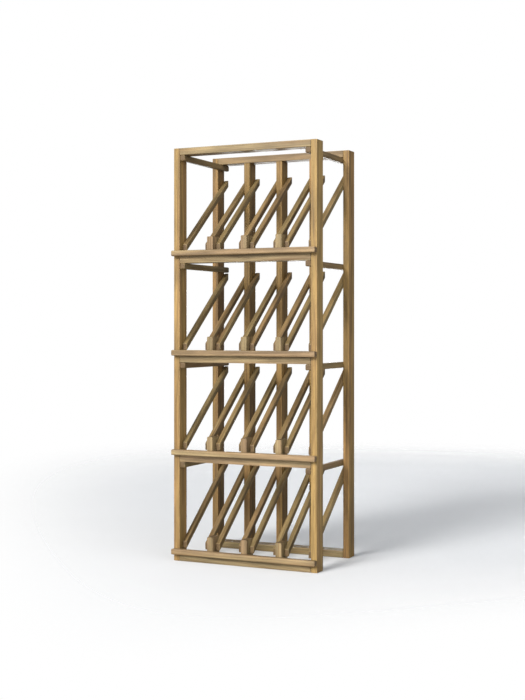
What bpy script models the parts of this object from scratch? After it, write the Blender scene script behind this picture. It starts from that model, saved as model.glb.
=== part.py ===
"""Slatted wooden wine rack: four tiers of four tilted bottle bays.

Metres, +Z up, width along X, front towards -Y, origin at the centre of the footprint.
"""
import math

import bmesh
import bpy

GAP = 0.0003

WIDTH = 0.432
HEIGHT = 1.148
TIER_PITCH = 0.276
TIER_COUNT = 4
BAY_COUNT = 4

POST_WIDTH = 0.018
POST_DEPTH = 0.042
FRAME_DEPTH = 0.275

RAIL_HEIGHT = 0.019
BAY_RAIL_HEIGHT = 0.0225
TENON_LENGTH = 0.008
TENON_HEIGHT = 0.011
TENON_DEPTH = 0.026
POST_TENON_WIDTH = 0.010
TENON_ROOT = 0.009

DIVIDER_HEIGHT = 0.072

LIP_DEPTH = 0.0175
LIP_HEIGHT = 0.0156
LIP_RISE = 0.0192

SIDE_RAIL_SIZE = 0.016

BEARER_WIDTH = 0.014
BEARER_THICKNESS = 0.015
BEARER_TILT = math.radians(38.5)
BEARER_TOP_AT_REAR_POST = 0.225
BEARER_SETBACK = 0.017

POST_EDGE = 0.0012
RAIL_EDGE = 0.0012
LIP_EDGE = 0.0028
BAR_EDGE = 0.0016
SIDE_RAIL_EDGE = 0.003
EDGE_SEGMENTS = 2
ROUND_SEGMENTS = 3
SHARP_ANGLE = 0.1

FRAME_FRONT = LIP_DEPTH + GAP - (LIP_DEPTH + GAP + FRAME_DEPTH) / 2
FRAME_BACK = FRAME_FRONT + FRAME_DEPTH
REAR_POST_FRONT = FRAME_BACK - POST_DEPTH
HALF_WIDTH = WIDTH / 2
POST_SPACING = (WIDTH - POST_WIDTH) / BAY_COUNT
TENON_CENTRE = RAIL_HEIGHT / 2
TOP_RAIL_BASE = HEIGHT - RAIL_HEIGHT

POST_COLOUR = (0.60, 0.39, 0.17)
REAR_POST_COLOUR = (0.50, 0.32, 0.14)
RAIL_COLOUR = (0.56, 0.37, 0.18)
LIP_COLOUR = (0.55, 0.38, 0.20)
BAR_COLOUR = (0.47, 0.30, 0.14)
FLAT_ROUGHNESS = 0.50
LIP_ROUGHNESS = 0.48
BAR_ROUGHNESS = 0.52


def clear_scene():
    for item in list(bpy.data.objects):
        bpy.data.objects.remove(item, do_unlink=True)


def wood(name, colour, roughness):
    """A plain oiled-wood material for one piece."""
    material = bpy.data.materials.new(name + "_wood")
    material.use_nodes = True
    shader = material.node_tree.nodes["Principled BSDF"]
    shader.inputs["Base Color"].default_value = (*colour, 1.0)
    shader.inputs["Roughness"].default_value = roughness
    shader.inputs["Metallic"].default_value = 0.0
    return material


def prism(outline, axis, start, end):
    """Extrude a closed outline of (u, v) points along X or Y as a new bmesh."""
    shape = bmesh.new()
    rings = []
    for along in (start, end):
        if axis == "X":
            ring = [shape.verts.new((along, u, v)) for u, v in outline]
        else:
            ring = [shape.verts.new((u, along, v)) for u, v in outline]
        rings.append(ring)
    count = len(outline)
    shape.faces.new(rings[0])
    shape.faces.new(rings[1][::-1])
    for index in range(count):
        after = (index + 1) % count
        shape.faces.new((rings[0][index], rings[1][index], rings[1][after], rings[0][after]))
    bmesh.ops.recalc_face_normals(shape, faces=shape.faces)
    return shape


def box(low, high):
    outline = [(low[1], low[2]), (high[1], low[2]), (high[1], high[2]), (low[1], high[2])]
    return prism(outline, "X", low[0], high[0])


def ease(shape, radius, segments=EDGE_SEGMENTS):
    """Round over every outward edge of a shape."""
    edges = [edge for edge in shape.edges if edge.calc_face_angle_signed() > SHARP_ANGLE]
    bmesh.ops.bevel(
        shape,
        geom=edges,
        offset=radius,
        offset_type="OFFSET",
        segments=segments,
        profile=0.5,
        affect="EDGES",
        clamp_overlap=True,
    )
    return shape


def place(name, shape, material=None):
    """Turn a bmesh into a named object in the scene."""
    mesh = bpy.data.meshes.new(name)
    shape.to_mesh(mesh)
    shape.free()
    if material:
        mesh.materials.append(material)
    item = bpy.data.objects.new(name, mesh)
    bpy.context.scene.collection.objects.link(item)
    return item


def combine(item, boxes, operation):
    """Join the boxes to the piece, or cut them out of it."""
    for low, high in boxes:
        tool = place("joint_tool", box(low, high))
        tool.hide_render = True
        tool.display_type = "WIRE"
        step = item.modifiers.new("joint", "BOOLEAN")
        step.operation = operation
        step.solver = "EXACT"
        step.object = tool
        graph = bpy.context.evaluated_depsgraph_get()
        shaped = bpy.data.meshes.new_from_object(item.evaluated_get(graph))
        item.modifiers.clear()
        item.data = shaped
        bpy.data.objects.remove(tool, do_unlink=True)


def tenon_box(face, outward, base, front, clearance):
    """Box of a stub tenon that enters a post through the plane X = face."""
    inner = face - outward * TENON_ROOT
    outer = face + outward * (TENON_LENGTH + clearance)
    middle_y = front + POST_DEPTH / 2
    half_depth = TENON_DEPTH / 2 + clearance
    half_height = TENON_HEIGHT / 2 + clearance
    middle_z = base + TENON_CENTRE
    low = (min(inner, outer), middle_y - half_depth, middle_z - half_height)
    high = (max(inner, outer), middle_y + half_depth, middle_z + half_height)
    return low, high


def post(name, centre_x, front, mortises, colour):
    """Upright with blind mortises for the rails that meet its side."""
    low = (centre_x - POST_WIDTH / 2, front, 0.0)
    high = (centre_x + POST_WIDTH / 2, front + POST_DEPTH, HEIGHT)
    item = place(name, ease(box(low, high), POST_EDGE), wood(name, colour, FLAT_ROUGHNESS))
    combine(item, mortises, "DIFFERENCE")


def side_mortises(side, front, bases):
    """Pockets in the inner face of an outer post, one for each rail level."""
    face = side * (HALF_WIDTH - POST_WIDTH)
    return [tenon_box(face, side, base, front, GAP) for base in bases]


def rail_tenons(base, front):
    face = HALF_WIDTH - POST_WIDTH
    return [tenon_box(side * face, side, base, front, 0.0) for side in (-1, 1)]


def inner_post_centres():
    """X of the three inner uprights and of the upstands in line with them."""
    first = -HALF_WIDTH + POST_WIDTH / 2
    return [first + index * POST_SPACING for index in range(1, BAY_COUNT)]


def post_tenon_box(centre_x, face, outward, clearance):
    """Box of a stub tenon on an inner post's end that enters a rail through Z = face."""
    inner = face - outward * TENON_ROOT
    outer = face + outward * (TENON_LENGTH + clearance)
    middle_y = REAR_POST_FRONT + POST_DEPTH / 2
    half_depth = TENON_DEPTH / 2 + clearance
    half_width = POST_TENON_WIDTH / 2 + clearance
    low = (centre_x - half_width, middle_y - half_depth, min(inner, outer))
    high = (centre_x + half_width, middle_y + half_depth, max(inner, outer))
    return low, high


def flat_rail(name, base, front):
    """Plain rail laid flat between the two outer posts of a frame."""
    end = HALF_WIDTH - POST_WIDTH - GAP
    shape = box((-end, front, base), (end, front + POST_DEPTH, base + RAIL_HEIGHT))
    item = place(name, ease(shape, RAIL_EDGE), wood(name, RAIL_COLOUR, FLAT_ROUGHNESS))
    combine(item, rail_tenons(base, front), "UNION")
    return item


def rear_rail(name, base, face, outward):
    """Flat rail with a blind mortise for each inner post, sunk in from Z = face."""
    item = flat_rail(name, base, REAR_POST_FRONT)
    pockets = [post_tenon_box(x, face, outward, GAP) for x in inner_post_centres()]
    combine(item, pockets, "DIFFERENCE")


def inner_rear_post(name, centre_x, low_face, high_face):
    """Upright between the two rear rails, tenoned into both."""
    low = (centre_x - POST_WIDTH / 2, REAR_POST_FRONT, low_face + GAP)
    high = (centre_x + POST_WIDTH / 2, FRAME_BACK, high_face - GAP)
    finish = wood(name, REAR_POST_COLOUR, FLAT_ROUGHNESS)
    item = place(name, ease(box(low, high), POST_EDGE), finish)
    lower_tenon = post_tenon_box(centre_x, low_face, -1, 0.0)
    upper_tenon = post_tenon_box(centre_x, high_face, 1, 0.0)
    combine(item, [lower_tenon, upper_tenon], "UNION")


def notched_outline(base):
    """Front view of a bay rail: a flat rail with an upstand between each two bays."""
    end = HALF_WIDTH - POST_WIDTH - GAP
    top = base + BAY_RAIL_HEIGHT
    crest = base + DIVIDER_HEIGHT
    outline = [(end, top), (end, base), (-end, base), (-end, top)]
    for centre in inner_post_centres():
        left = centre - POST_WIDTH / 2
        right = centre + POST_WIDTH / 2
        outline += [(left, top), (left, crest), (right, crest), (right, top)]
    return outline


def bay_rail(name, base):
    shape = prism(notched_outline(base), "Y", FRAME_FRONT, FRAME_FRONT + POST_DEPTH)
    item = place(name, ease(shape, RAIL_EDGE), wood(name, RAIL_COLOUR, FLAT_ROUGHNESS))
    combine(item, rail_tenons(base, FRAME_FRONT), "UNION")


def bottle_lip(name, base):
    """Rounded strip across the front that keeps the bottles' heels on the rail."""
    front = FRAME_FRONT - GAP - LIP_DEPTH
    low = (-HALF_WIDTH, front, base + LIP_RISE)
    high = (HALF_WIDTH, FRAME_FRONT - GAP, base + LIP_RISE + LIP_HEIGHT)
    shape = ease(box(low, high), LIP_EDGE, ROUND_SEGMENTS)
    place(name, shape, wood(name, LIP_COLOUR, LIP_ROUGHNESS))


def side_rail(name, side, top):
    """Square rail that ties a front post to a rear post on the inside."""
    outer = side * (HALF_WIDTH - POST_WIDTH - GAP)
    inner = outer - side * SIDE_RAIL_SIZE
    low = (min(outer, inner), FRAME_FRONT, top - SIDE_RAIL_SIZE)
    high = (max(outer, inner), FRAME_BACK, top)
    shape = ease(box(low, high), SIDE_RAIL_EDGE, ROUND_SEGMENTS)
    place(name, shape, wood(name, BAR_COLOUR, BAR_ROUGHNESS))


def bearer_outline(base):
    """Side view of a tilted bearer with both ends cut plumb."""
    slope = math.tan(BEARER_TILT)
    plumb = BEARER_THICKNESS / math.cos(BEARER_TILT)
    front = FRAME_FRONT + BEARER_SETBACK
    reference = base + BEARER_TOP_AT_REAR_POST
    top_front = reference + (front - REAR_POST_FRONT) * slope
    top_back = reference + (FRAME_BACK - REAR_POST_FRONT) * slope
    return [
        (front, top_front - plumb),
        (FRAME_BACK, top_back - plumb),
        (FRAME_BACK, top_back),
        (front, top_front),
    ]


def bearer(name, face, inward, base):
    """Tilted bar fixed to the side face of a post and of the upstand before it."""
    near = face + inward * GAP
    far = near + inward * BEARER_WIDTH
    shape = prism(bearer_outline(base), "X", min(near, far), max(near, far))
    place(name, ease(shape, BAR_EDGE), wood(name, BAR_COLOUR, BAR_ROUGHNESS))


def bay_bearers(tier, bay, base):
    left_face = -HALF_WIDTH + POST_WIDTH + bay * POST_SPACING
    right_face = -HALF_WIDTH + (bay + 1) * POST_SPACING
    stem = f"bearer_tier{tier + 1}_bay{bay + 1}"
    bearer(stem + "_left", left_face, 1, base)
    bearer(stem + "_right", right_face, -1, base)


def front_frame(tier_bases):
    levels = tier_bases + [TOP_RAIL_BASE]
    for label, side in (("left", -1), ("right", 1)):
        centre = side * (HALF_WIDTH - POST_WIDTH / 2)
        mortises = side_mortises(side, FRAME_FRONT, levels)
        post("front_post_" + label, centre, FRAME_FRONT, mortises, POST_COLOUR)
    flat_rail("front_top_rail", TOP_RAIL_BASE, FRAME_FRONT)
    for tier, base in enumerate(tier_bases):
        bay_rail(f"front_rail_tier{tier + 1}", base)
        bottle_lip(f"lip_tier{tier + 1}", base)


def rear_frame():
    """Outer posts full height; inner posts stand between the two rear rails."""
    levels = [0.0, TOP_RAIL_BASE]
    for label, side in (("left", -1), ("right", 1)):
        centre = side * (HALF_WIDTH - POST_WIDTH / 2)
        mortises = side_mortises(side, REAR_POST_FRONT, levels)
        post("rear_post_" + label, centre, REAR_POST_FRONT, mortises, REAR_POST_COLOUR)
    rear_rail("rear_bottom_rail", 0.0, RAIL_HEIGHT, -1)
    rear_rail("rear_top_rail", TOP_RAIL_BASE, TOP_RAIL_BASE, 1)
    for index, centre_x in enumerate(inner_post_centres()):
        inner_rear_post(f"rear_post_inner{index + 1}", centre_x, RAIL_HEIGHT, TOP_RAIL_BASE)


def side_rails(tier_bases):
    tops = [base - GAP for base in tier_bases[1:]] + [TOP_RAIL_BASE - GAP]
    for level, top in enumerate(tops):
        for label, side in (("left", -1), ("right", 1)):
            side_rail(f"side_rail_level{level + 1}_{label}", side, top)


def build():
    clear_scene()
    tier_bases = [tier * TIER_PITCH for tier in range(TIER_COUNT)]
    front_frame(tier_bases)
    rear_frame()
    side_rails(tier_bases)
    for tier, base in enumerate(tier_bases):
        for bay in range(BAY_COUNT):
            bay_bearers(tier, bay, base)


build()
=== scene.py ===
"""Looks, light and camera for the slatted wooden wine rack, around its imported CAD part."""
import math
import random

import bmesh
import bpy
from mathutils import Euler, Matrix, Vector


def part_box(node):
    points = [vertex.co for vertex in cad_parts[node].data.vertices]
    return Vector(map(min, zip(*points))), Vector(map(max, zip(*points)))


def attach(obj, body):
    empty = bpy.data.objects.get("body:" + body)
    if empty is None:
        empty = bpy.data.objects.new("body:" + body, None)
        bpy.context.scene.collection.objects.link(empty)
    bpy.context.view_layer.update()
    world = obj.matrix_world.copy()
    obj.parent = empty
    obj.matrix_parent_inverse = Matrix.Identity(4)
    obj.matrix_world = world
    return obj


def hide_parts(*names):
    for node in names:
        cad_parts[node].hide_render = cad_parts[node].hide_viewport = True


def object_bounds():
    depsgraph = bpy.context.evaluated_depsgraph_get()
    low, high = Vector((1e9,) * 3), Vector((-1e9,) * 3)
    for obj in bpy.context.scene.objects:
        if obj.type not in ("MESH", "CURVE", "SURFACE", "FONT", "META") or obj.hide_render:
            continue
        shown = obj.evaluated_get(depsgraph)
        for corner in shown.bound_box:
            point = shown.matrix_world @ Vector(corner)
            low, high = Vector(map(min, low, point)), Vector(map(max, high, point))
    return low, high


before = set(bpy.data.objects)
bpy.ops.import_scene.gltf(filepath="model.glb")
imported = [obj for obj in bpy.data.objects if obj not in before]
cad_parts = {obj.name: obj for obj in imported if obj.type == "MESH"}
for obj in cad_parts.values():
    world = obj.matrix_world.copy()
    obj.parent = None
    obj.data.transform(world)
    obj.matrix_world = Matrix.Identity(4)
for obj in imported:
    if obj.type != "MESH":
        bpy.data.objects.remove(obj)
CAD_LOW, CAD_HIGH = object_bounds()

# Camera: level, to the right of the rack and turned towards it.
LENS = 63.80
SENSOR = 36.0
CAMERA_YAW = math.radians(25.153)
CAMERA_FROM_FRONT_CORNER = Vector((1.2617, -3.0259, 0.6530))
CAMERA_SHIFT_Y = -0.0341

# Studio: a broad key from the front left, a wide weak one from the right, a low one from the front
# that reaches under the lips, a weak one on the back, a near lamp that brightens the upper tiers,
# and an even fill.
KEY_COLOUR = (1.0, 0.985, 0.955)
SIDE_COLOUR = (0.93, 0.985, 1.05)
FILL_COLOUR = (0.95, 0.975, 1.0)
FILL_STRENGTH = 0.22
BACKGROUND_STRENGTH = 1.0
BACKGROUND_COLOUR = (1.0, 1.0, 1.0)

# Suns: azimuth (from straight ahead of the rack towards its right), elevation and spread in
# degrees, then power and colour.
SUNS = {
    "key": (-12.0, 27.0, 25.0, 3.72, KEY_COLOUR),
    "side": (68.0, 8.0, 70.0, 1.78, SIDE_COLOUR),
    "front": (-5.0, -8.0, 60.0, 0.85, KEY_COLOUR),
    "back": (200.0, -2.0, 14.0, 1.15, KEY_COLOUR),
}
SUN_DISTANCE = 4.0
NEAR_AZIMUTH = -12.0
NEAR_ELEVATION = 36.0
NEAR_DISTANCE = 2.6
NEAR_SIZE = 1.2
NEAR_POWER = 12.0

# Floor: its colour in view, and the darker colour that it reflects onto the rack. It fades to the
# background across an oval round its centre, which widens towards the back; the fade runs between
# two parts of the oval's size.
FLOOR_HALF_SIZE = 8.0
FLOOR_DROP = 0.0002
FLOOR_COLOUR = (0.890, 0.908, 0.938)
FLOOR_BOUNCE = (0.290, 0.292, 0.298)
FLOOR_ROUGHNESS = 0.7
FLOOR_SPECULAR = 0.2
FLOOR_CENTRE = (0.10, 1.25)
FLOOR_REACH = 2.3
FLOOR_SPREAD = 1.30
FLOOR_SPREAD_GROWTH = 0.58
FLOOR_SPREAD_LEAST = 0.3
FLOOR_FADE = (0.45, 1.05)
MOTTLE_SCALE = 3.0
MOTTLE_DETAIL = 3.0
MOTTLE_SHADE = (0.3, 0.7, 0.985, 1.0)

# Bay rails: a board with divider blocks stood on it, in line with the inner rear posts.
TIERS = 4
INNER_POSTS = 3
BOARD_HEIGHT = 0.0225
BOARD_GAP = 0.0003
BLOCK_EDGE = 0.0012
BLOCK_EDGE_SEGMENTS = 2

# Wood palettes: main tone, warmer tone, red-brown streaks.
POST_TONES = ((0.324, 0.206, 0.069), (0.328, 0.191, 0.072), (0.205, 0.109, 0.033))
RAIL_TONES = ((0.284, 0.210, 0.104), (0.294, 0.194, 0.102), (0.190, 0.112, 0.046))
BAR_TONES = ((0.214, 0.153, 0.066), (0.220, 0.141, 0.064), (0.140, 0.083, 0.029))
# The rear palettes are darker copies of the front ones: painted shade for the back of the rack.
REAR_POST_SHADED_TONES = ((0.266, 0.162, 0.048), (0.270, 0.151, 0.050), (0.170, 0.087, 0.025))
REAR_RAIL_SHADED_TONES = ((0.224, 0.168, 0.077), (0.232, 0.155, 0.075), (0.150, 0.089, 0.035))
LATE_WOOD = (0.165, 0.098, 0.036)
END_GRAIN = (0.105, 0.060, 0.026)
PORE = (0.080, 0.045, 0.018)
# Lighter colour along the edges: rubbed wear and a painted highlight.
WORN_AND_HIGHLIGHT = (0.400, 0.300, 0.170)

# Drawn at random for each piece: how far off the tree's centre is and where along the tree the
# piece was cut, in metres, then its brightness and how warm it is.
GRAIN_SEED = 417
PITH_DISTANCE = (0.045, 0.11)
GRAIN_OFFSET = (-4.0, 4.0)
TONE_GAIN = (0.93, 1.07)
WARM_SHIFT = (-0.12, 0.12)

# Slope of the bearers, and of their grain.
BEARER_TILT = math.radians(38.5)

# Patterns drawn out along the grain: cycles per metre across it and along it, octaves of detail,
# and the strength of each octave against the last.
SWAY = (9.0, 1.3, 2.0, 0.5)
RING_SPREAD = (60.0, 2.0, 1.0, 0.5)
STREAK = (150.0, 4.0, 2.0, 0.55)
DRIFT = (38.0, 1.6, 1.0, 0.5)
CLOUD = (60.0, 9.0, 2.0, 0.5)
BAND = (420.0, 5.0, 2.0, 0.5)
STRIPE = (130.0, 2.4, 1.0, 0.5)
FIBRE = (1500.0, 26.0, 3.0, 0.6)
SPECK = (2300.0, 120.0, 1.0, 0.5)

# Growth rings, in metres and in parts of one ring's width.
RING_WIDTH = 0.0042
RING_SWAY = 0.020
RING_UNEVEN = 0.7
RING_ALONG = 0.021
EARLY_WOOD_END = 0.45
LATE_WOOD_PEAK = 0.93

# Each range turns a pattern's value, between the first two numbers, into the last two.
WARM_RANGE = (0.40, 0.64, 0.0, 1.0)
STREAK_RANGE = (0.53, 0.74, 0.0, 0.90)
PORE_RANGE = (0.60, 0.70, 0.0, 1.0)
PORE_IN_EARLY_WOOD = (0.0, 0.8, 0.25, 1.0)
END_GRAIN_RANGE = (0.71, 0.78, 0.0, 1.0)
FIBRE_SHADE = (0.25, 0.75, 0.82, 1.12)
CLOUD_SHADE = (0.32, 0.66, 0.79, 1.15)
BAND_SHADE = (0.30, 0.70, 0.90, 1.08)
STRIPE_SHADE = (0.30, 0.70, 0.80, 1.17)

# Lighter edges, partly rubbed wear and partly painted highlight: width in metres, then patches
# where the finish has gone, in cycles per metre.
WEAR_AND_HIGHLIGHT_WIDTH = 0.0016
WEAR_AND_HIGHLIGHT_PATCHES = 55.0
WEAR_AND_HIGHLIGHT_DETAIL = 3.0
WEAR_AND_HIGHLIGHT_RANGE = (0.35, 0.7, 0.0, 1.0)

# How far each pattern covers the wood's colour, and what it adds to roughness and height.
LATE_COVER = 0.46
PORE_COVER = 0.65
END_COVER = 0.72
WORN_AND_HIGHLIGHT_COVER = 0.45
ROUGHNESS = 0.45
FIBRE_ROUGHNESS = 0.16
LATE_ROUGHNESS = -0.06
PORE_ROUGHNESS = 0.18
WORN_ROUGHNESS = 0.08
FIBRE_HEIGHT = 0.35
LATE_HEIGHT = 0.30
PORE_HEIGHT = -0.9
BUMP_STRENGTH = 0.55
BUMP_DISTANCE = 0.00012
WOOD_SPECULAR = 0.34


class Graph:
    """Short calls for building one shader node tree."""

    def __init__(self, tree):
        self.tree = tree

    def node(self, kind, *values, **settings):
        """Add a node; values go to its inputs in order, as links or as constants."""
        node = self.tree.nodes.new("ShaderNode" + kind)
        for key, value in settings.items():
            setattr(node, key, value)
        for socket, value in zip(node.inputs, values):
            self.feed(socket, value)
        return node

    def feed(self, socket, value):
        """Link the value to a socket, or set it there as a constant."""
        if isinstance(value, bpy.types.NodeSocket):
            self.tree.links.new(value, socket)
        else:
            socket.default_value = value

    def math(self, operation, *values, clamp=False):
        return self.node("Math", *values, operation=operation, use_clamp=clamp).outputs[0]

    def vector(self, operation, *values):
        node = self.node("VectorMath", *values, operation=operation)
        return node.outputs["Value" if operation == "LENGTH" else "Vector"]

    def noise(self, vector, scale, detail, roughness=0.5):
        node = self.node("TexNoise", normalize=True)
        self.feed(node.inputs["Vector"], vector)
        self.feed(node.inputs["Scale"], scale)
        self.feed(node.inputs["Detail"], detail)
        self.feed(node.inputs["Roughness"], roughness)
        return node.outputs["Fac"]

    def stretch(self, vector, across, along):
        """Squeeze the coordinates so that a pattern runs out along the grain."""
        return self.vector("MULTIPLY", vector, (across, across, along))

    def grain(self, vector, pattern):
        """Noise drawn out along the grain."""
        across, along, detail, roughness = pattern
        return self.noise(self.stretch(vector, across, along), 1.0, detail, roughness)

    def ramp(self, value, low, high, out_low=0.0, out_high=1.0):
        """Smooth step of a value from one range to another."""
        node = self.node("MapRange", interpolation_type="SMOOTHSTEP")
        self.feed(node.inputs["Value"], value)
        self.feed(node.inputs["From Min"], low)
        self.feed(node.inputs["From Max"], high)
        self.feed(node.inputs["To Min"], out_low)
        self.feed(node.inputs["To Max"], out_high)
        return node.outputs["Result"]

    def mix(self, factor, first, second, blend="MIX"):
        node = self.node("Mix", data_type="RGBA", blend_type=blend)
        self.feed(node.inputs[0], factor)
        self.feed(node.inputs[6], first)
        self.feed(node.inputs[7], second)
        return node.outputs[2]


def rgba(colour, gain=1.0):
    return (colour[0] * gain, colour[1] * gain, colour[2] * gain, 1.0)


def grain_rotation(name):
    """Rotation that turns the piece's grain direction onto local +Z."""
    if name.startswith("bearer"):
        return Euler((math.radians(90.0) - BEARER_TILT, 0.0, 0.0))
    if "post" in name or name.startswith("divider"):
        return Euler((0.0, 0.0, 0.0))
    if name.startswith("side_rail"):
        return Euler((math.radians(90.0), 0.0, 0.0))
    return Euler((0.0, math.radians(-90.0), 0.0))


def local_half_size(name, turn, half):
    """Half extents of the piece in its grain frame."""
    if not name.startswith("bearer"):
        size = turn @ half
        return Vector((abs(size.x), abs(size.y), abs(size.z)))
    rise = half.z - half.y * math.tan(BEARER_TILT)
    return Vector((half.x, rise * math.cos(BEARER_TILT), half.y / math.cos(BEARER_TILT)))


def palette(name):
    # Rear pieces take the darker palettes: painted shade at the back of the rack.
    if name.startswith("rear"):
        return REAR_POST_SHADED_TONES if "post" in name else REAR_RAIL_SHADED_TONES
    if "post" in name:
        return POST_TONES
    if name.startswith("bearer") or name.startswith("side_rail"):
        return BAR_TONES
    return RAIL_TONES


def piece_coordinates(graph, turn, centre):
    """Object coordinates, centred on the piece, with the grain along local Z."""
    source = graph.node("TexCoord").outputs["Object"]
    mapping = graph.node("Mapping", vector_type="POINT")
    graph.feed(mapping.inputs["Vector"], source)
    mapping.inputs["Rotation"].default_value = turn
    mapping.inputs["Location"].default_value = -(turn.to_matrix() @ centre)
    return mapping.outputs["Vector"]


def growth_rings(graph, moved):
    """Late and early wood of a board sawn away from the tree's centre."""
    sway = graph.grain(moved, SWAY)
    radius = graph.vector("LENGTH", graph.stretch(moved, 1.0, RING_ALONG))
    swayed = graph.math("MULTIPLY_ADD", sway, RING_SWAY, radius)
    uneven = graph.math("MULTIPLY", graph.grain(moved, RING_SPREAD), RING_UNEVEN)
    count = graph.math("MULTIPLY_ADD", swayed, 1.0 / RING_WIDTH, uneven)
    phase = graph.math("FRACT", count)
    rise = graph.ramp(phase, EARLY_WOOD_END, LATE_WOOD_PEAK)
    fall = graph.ramp(phase, LATE_WOOD_PEAK, 1.0, 1.0, 0.0)
    late = graph.math("MULTIPLY", rise, fall)
    early = graph.ramp(phase, 0.0, EARLY_WOOD_END, 1.0, 0.0)
    return late, early


def edge_wear_and_highlight(graph, local, half):
    """Mask for the lighter edges, rubbed wear and painted highlight: 1 along the piece's long edges
    and ends, 0 on its faces.
    """
    inside = graph.vector("SUBTRACT", tuple(half), graph.vector("ABSOLUTE", local))
    apart = graph.node("SeparateXYZ", inside)
    near = [graph.ramp(apart.outputs[index], 0.0, WEAR_AND_HIGHLIGHT_WIDTH, 1.0, 0.0) for index in range(3)]
    pairs = [
        graph.math("MULTIPLY", near[0], near[1]),
        graph.math("MULTIPLY", near[1], near[2]),
        graph.math("MULTIPLY", near[2], near[0]),
    ]
    edge = graph.math("MAXIMUM", graph.math("MAXIMUM", pairs[0], pairs[1]), pairs[2])
    rubbed_and_highlight = graph.ramp(graph.noise(local, WEAR_AND_HIGHLIGHT_PATCHES, WEAR_AND_HIGHLIGHT_DETAIL), *WEAR_AND_HIGHLIGHT_RANGE)
    return graph.math("MULTIPLY", edge, rubbed_and_highlight)


def end_grain(graph, turn):
    """1 on faces cut across the grain, 0 on faces along it."""
    normal = graph.node("TexCoord").outputs["Normal"]
    axis = turn.to_matrix().transposed() @ Vector((0.0, 0.0, 1.0))
    facing = graph.node("VectorMath", normal, tuple(axis), operation="DOT_PRODUCT").outputs["Value"]
    return graph.ramp(graph.math("ABSOLUTE", facing), *END_GRAIN_RANGE)


def wood_colour(graph, tones, gain, late, pore, patterns):
    """Colour of clean planed wood: streaks, late wood, bands of shade and open pores."""
    main, warmer, brown = tones
    colour = graph.mix(patterns["warm"], rgba(main, gain), rgba(warmer, gain))
    streak = graph.ramp(patterns["streak"], *STREAK_RANGE)
    colour = graph.mix(streak, colour, rgba(brown, gain))
    colour = graph.mix(graph.math("MULTIPLY", late, LATE_COVER), colour, rgba(LATE_WOOD, gain))
    shade = graph.ramp(patterns["fibre"], *FIBRE_SHADE)
    for name, shading in (("cloud", CLOUD_SHADE), ("band", BAND_SHADE), ("stripe", STRIPE_SHADE)):
        shade = graph.math("MULTIPLY", shade, graph.ramp(patterns[name], *shading))
    grey = graph.node("CombineColor", shade, shade, shade).outputs[0]
    colour = graph.mix(1.0, colour, grey, "MULTIPLY")
    return graph.mix(graph.math("MULTIPLY", pore, PORE_COVER), colour, rgba(PORE))


def wood_surface(graph, shader, late, pore, worn_and_highlight, fibre):
    """Roughness and bump from the same fibres, rings and pores as the colour."""
    rough = graph.math("MULTIPLY_ADD", fibre, FIBRE_ROUGHNESS, ROUGHNESS)
    rough = graph.math("MULTIPLY_ADD", late, LATE_ROUGHNESS, rough)
    rough = graph.math("MULTIPLY_ADD", pore, PORE_ROUGHNESS, rough)
    rough = graph.math("MULTIPLY_ADD", worn_and_highlight, WORN_ROUGHNESS, rough, clamp=True)
    graph.feed(shader.inputs["Roughness"], rough)

    raised = graph.math("MULTIPLY", late, LATE_HEIGHT)
    height = graph.math("MULTIPLY_ADD", fibre, FIBRE_HEIGHT, raised)
    height = graph.math("MULTIPLY_ADD", pore, PORE_HEIGHT, height)
    bump = graph.node("Bump")
    bump.inputs["Strength"].default_value = BUMP_STRENGTH
    bump.inputs["Distance"].default_value = BUMP_DISTANCE
    graph.feed(bump.inputs["Height"], height)
    graph.feed(shader.inputs["Normal"], bump.outputs["Normal"])


def wood_material(name, low, high, dice):
    """Oiled ring-porous hardwood, cut for one piece and with its own grain."""
    turn = grain_rotation(name)
    centre = (low + high) / 2
    half = local_half_size(name, turn.to_matrix(), (high - low) / 2)
    bearing = dice.uniform(0.0, math.tau)
    reach = dice.uniform(*PITH_DISTANCE)
    along = dice.uniform(*GRAIN_OFFSET)
    offset = (reach * math.cos(bearing), reach * math.sin(bearing), along)
    gain = dice.uniform(*TONE_GAIN)
    shift = dice.uniform(*WARM_SHIFT)

    material = bpy.data.materials.new(name + "_oiled_wood")
    material.use_nodes = True
    graph = Graph(material.node_tree)
    shader = material.node_tree.nodes["Principled BSDF"]

    local = piece_coordinates(graph, turn, centre)
    moved = graph.vector("ADD", local, offset)
    late, early = growth_rings(graph, moved)
    named = {"streak": STREAK, "cloud": CLOUD, "band": BAND, "stripe": STRIPE, "fibre": FIBRE}
    patterns = {key: graph.grain(moved, pattern) for key, pattern in named.items()}
    drift = graph.math("ADD", graph.grain(moved, DRIFT), shift)
    patterns["warm"] = graph.ramp(drift, *WARM_RANGE)
    speck = graph.ramp(graph.grain(moved, SPECK), *PORE_RANGE)
    pore = graph.math("MULTIPLY", speck, graph.ramp(early, *PORE_IN_EARLY_WOOD))

    colour = wood_colour(graph, palette(name), gain, late, pore, patterns)
    ends = graph.math("MULTIPLY", end_grain(graph, turn), END_COVER)
    colour = graph.mix(ends, colour, rgba(END_GRAIN, gain))
    # Lighter edges: rubbed wear with a painted highlight along them.
    worn_and_highlight = edge_wear_and_highlight(graph, local, half)
    colour = graph.mix(graph.math("MULTIPLY", worn_and_highlight, WORN_AND_HIGHLIGHT_COVER), colour, rgba(WORN_AND_HIGHLIGHT, gain))
    graph.feed(shader.inputs["Base Color"], colour)

    wood_surface(graph, shader, late, pore, worn_and_highlight, patterns["fibre"])
    shader.inputs["Metallic"].default_value = 0.0
    shader.inputs["Specular IOR Level"].default_value = WOOD_SPECULAR
    return material


def finish_wood(dice):
    """Give every CAD piece a wood of its own."""
    for name in sorted(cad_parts):
        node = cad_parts[name]
        low, high = (Vector(corner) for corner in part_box(name))
        material = wood_material(name, low, high, dice)
        for slot in node.material_slots:
            slot.material = material


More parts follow.
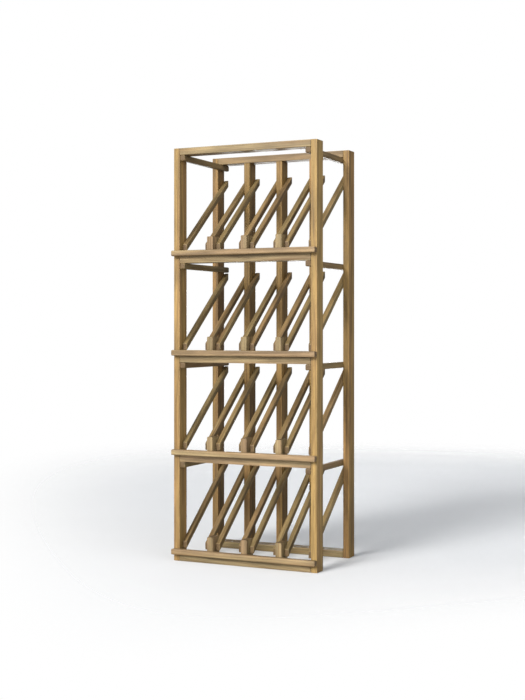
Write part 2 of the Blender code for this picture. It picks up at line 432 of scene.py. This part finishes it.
def bevelled_block(name, low, high):
    """Rectangular piece of wood with eased edges, standing for part of a CAD rail."""
    shape = bmesh.new()
    bmesh.ops.create_cube(shape, size=1.0)
    middle = (low + high) / 2
    for vertex in shape.verts:
        vertex.co = Vector(a * b + c for a, b, c in zip(vertex.co, high - low, middle))
    bmesh.ops.bevel(
        shape,
        geom=list(shape.edges),
        offset=BLOCK_EDGE,
        segments=BLOCK_EDGE_SEGMENTS,
        affect="EDGES",
    )
    mesh = bpy.data.meshes.new(name)
    shape.to_mesh(mesh)
    shape.free()
    piece = bpy.data.objects.new(name, mesh)
    bpy.context.scene.collection.objects.link(piece)
    return piece


def add_rail_pieces(dice):
    """Show each bay rail as a flat board with three separate divider blocks stood on it."""
    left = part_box("front_post_left")[1][0] + BOARD_GAP
    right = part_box("front_post_right")[0][0] - BOARD_GAP
    for tier in range(1, TIERS + 1):
        rail = f"front_rail_tier{tier}"
        low, high = (Vector(corner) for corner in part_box(rail))
        top = low.z + BOARD_HEIGHT
        parts = {f"rail_board_tier{tier}": ((left, low.y, low.z), (right, high.y, top))}
        for index in range(1, INNER_POSTS + 1):
            post_low, post_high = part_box(f"rear_post_inner{index}")
            foot = (post_low[0], low.y, top + BOARD_GAP)
            parts[f"divider_tier{tier}_{index}"] = (foot, (post_high[0], high.y, high.z))
        for name, (first, last) in parts.items():
            first, last = Vector(first), Vector(last)
            piece = bevelled_block(name, first, last)
            piece.data.materials.append(wood_material(name, first, last, dice))
            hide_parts(rail)
            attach(piece, "root")


def add_floor():
    """Pale floor that clears away to the backdrop's white with distance."""
    mesh = bpy.data.meshes.new("floor")
    size = FLOOR_HALF_SIZE
    outline = [(-size, -size, 0.0), (size, -size, 0.0), (size, size, 0.0), (-size, size, 0.0)]
    mesh.from_pydata(outline, [], [(0, 1, 2, 3)])
    floor = bpy.data.objects.new("floor", mesh)
    floor.location = (0.0, 0.0, CAD_LOW.z - FLOOR_DROP)
    bpy.context.scene.collection.objects.link(floor)
    floor.data.materials.append(floor_material())


def floor_distance(graph, source):
    """Distance from the floor's centre, 1 on an oval that widens towards the back."""
    apart = graph.node("SeparateXYZ", source)
    across, along = apart.outputs[0], apart.outputs[1]
    width = graph.math("MULTIPLY_ADD", along, FLOOR_SPREAD_GROWTH, FLOOR_SPREAD)
    width = graph.math("MAXIMUM", width, FLOOR_SPREAD_LEAST)
    sideways = graph.math("DIVIDE", graph.math("SUBTRACT", across, FLOOR_CENTRE[0]), width)
    lengthways = graph.math("DIVIDE", graph.math("SUBTRACT", along, FLOOR_CENTRE[1]), FLOOR_REACH)
    return graph.vector("LENGTH", graph.node("CombineXYZ", sideways, lengthways, 0.0).outputs[0])


def floor_material():
    """Pale mottled paint that fades out to transparent."""
    material = bpy.data.materials.new("pale_floor")
    material.use_nodes = True
    graph = Graph(material.node_tree)
    nodes = material.node_tree.nodes
    shader = nodes["Principled BSDF"]
    source = graph.node("TexCoord").outputs["Object"]
    tint = graph.ramp(graph.noise(source, MOTTLE_SCALE, MOTTLE_DETAIL), *MOTTLE_SHADE)
    grey = graph.node("CombineColor", tint, tint, tint).outputs[0]
    seen = graph.mix(1.0, rgba(FLOOR_COLOUR), grey, "MULTIPLY")
    camera_ray = graph.node("LightPath").outputs["Is Camera Ray"]
    graph.feed(shader.inputs["Base Color"], graph.mix(camera_ray, rgba(FLOOR_BOUNCE), seen))
    shader.inputs["Roughness"].default_value = FLOOR_ROUGHNESS
    shader.inputs["Specular IOR Level"].default_value = FLOOR_SPECULAR
    fade = graph.ramp(floor_distance(graph, source), *FLOOR_FADE)
    clear = graph.node("BsdfTransparent").outputs[0]
    blend = graph.node("MixShader", fade, shader.outputs[0], clear)
    graph.feed(nodes["Material Output"].inputs["Surface"], blend.outputs[0])
    return material


def add_lamp(name, kind, azimuth, elevation, distance, power, colour):
    """Lamp aimed at the middle of the rack; angles in degrees."""
    data = bpy.data.lights.new(name, kind)
    data.energy = power
    data.color = colour
    lamp = bpy.data.objects.new(name, data)
    turn = math.radians(azimuth)
    rise = math.radians(elevation)
    level = math.cos(rise)
    away = Vector((math.sin(turn) * level, -math.cos(turn) * level, math.sin(rise)))
    lamp.location = (CAD_LOW + CAD_HIGH) / 2 + away * distance
    lamp.rotation_euler = (-away).to_track_quat("-Z", "Y").to_euler()
    bpy.context.scene.collection.objects.link(lamp)
    return data


def add_lamps():
    for name, (azimuth, elevation, spread, power, colour) in SUNS.items():
        sun = add_lamp(name, "SUN", azimuth, elevation, SUN_DISTANCE, power, colour)
        sun.angle = math.radians(spread)
    near = add_lamp(
        "near", "AREA", NEAR_AZIMUTH, NEAR_ELEVATION, NEAR_DISTANCE, NEAR_POWER, KEY_COLOUR
    )
    near.shape = "SQUARE"
    near.size = NEAR_SIZE


def add_world():
    """White behind the rack for the camera, and a weaker cool fill for the light."""
    world = bpy.data.worlds.new("studio")
    bpy.context.scene.world = world
    world.use_nodes = True
    graph = Graph(world.node_tree)
    nodes = world.node_tree.nodes
    fill = nodes["Background"]
    fill.inputs["Color"].default_value = rgba(FILL_COLOUR)
    fill.inputs["Strength"].default_value = FILL_STRENGTH
    seen = graph.node("Background", rgba(BACKGROUND_COLOUR), BACKGROUND_STRENGTH)
    camera_ray = graph.node("LightPath").outputs["Is Camera Ray"]
    blend = graph.node("MixShader", camera_ray, fill.outputs[0], seen.outputs[0])
    graph.feed(nodes["World Output"].inputs["Surface"], blend.outputs[0])


def add_camera():
    """Set the camera out from the lower front corner of the right-hand post."""
    low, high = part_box("front_post_right")
    corner = Vector((high[0], low[1], low[2]))
    data = bpy.data.cameras.new("camera")
    data.lens = LENS
    data.sensor_width = SENSOR
    data.shift_y = CAMERA_SHIFT_Y
    camera = bpy.data.objects.new("camera", data)
    camera.location = corner + CAMERA_FROM_FRONT_CORNER
    camera.rotation_euler = Euler((math.radians(90.0), 0.0, CAMERA_YAW))
    bpy.context.scene.collection.objects.link(camera)
    bpy.context.scene.camera = camera


grain_dice = random.Random(GRAIN_SEED)
finish_wood(grain_dice)
add_rail_pieces(grain_dice)
add_floor()
add_lamps()
add_world()
add_camera()
bpy.context.scene.view_settings.view_transform = "Standard"
